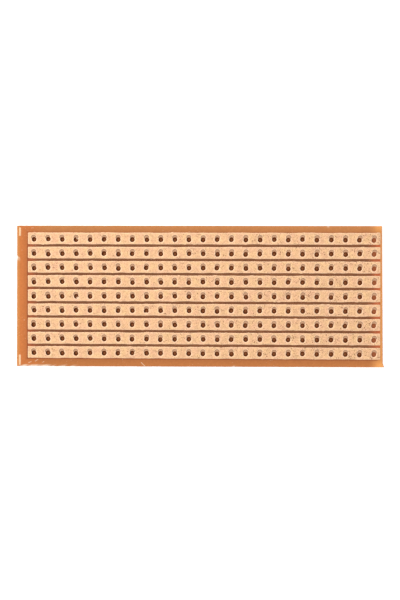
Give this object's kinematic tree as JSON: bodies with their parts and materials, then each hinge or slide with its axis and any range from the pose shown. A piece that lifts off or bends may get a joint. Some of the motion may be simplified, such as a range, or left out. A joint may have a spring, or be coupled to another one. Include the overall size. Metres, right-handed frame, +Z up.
{
  "type": "prototype board",
  "caption": "Prototype strip board: a thin brown laminate sheet with parallel copper foil strips and a punched grid of component lead holes.",
  "frame": {"origin": "centre of the bottom of the board's box, on the bare laminate face it lies on", "axes": "+X along the foil strips, away from the two corner marks; +Y across the strips; +Z up, out of the copper side"},
  "size_m": [0.0658, 0.0252, 0.0016],
  "materials": {
    "laminate": "translucent amber-brown phenolic paper laminate, satin, with sheared edges",
    "copper_foil": "bright satin copper foil under a thin solder lacquer, lightly specked"
  },
  "bodies": {
    "root": {"board": "laminate", "foil_strip_1": "copper_foil", "foil_strip_2": "copper_foil", "foil_strip_3": "copper_foil", "foil_strip_4": "copper_foil", "foil_strip_5": "copper_foil", "foil_strip_6": "copper_foil", "foil_strip_7": "copper_foil", "foil_strip_8": "copper_foil", "foil_strip_9": "copper_foil", "corner_mark_top": "copper_foil", "corner_mark_bottom": "copper_foil"}
  },
  "joints": []
}
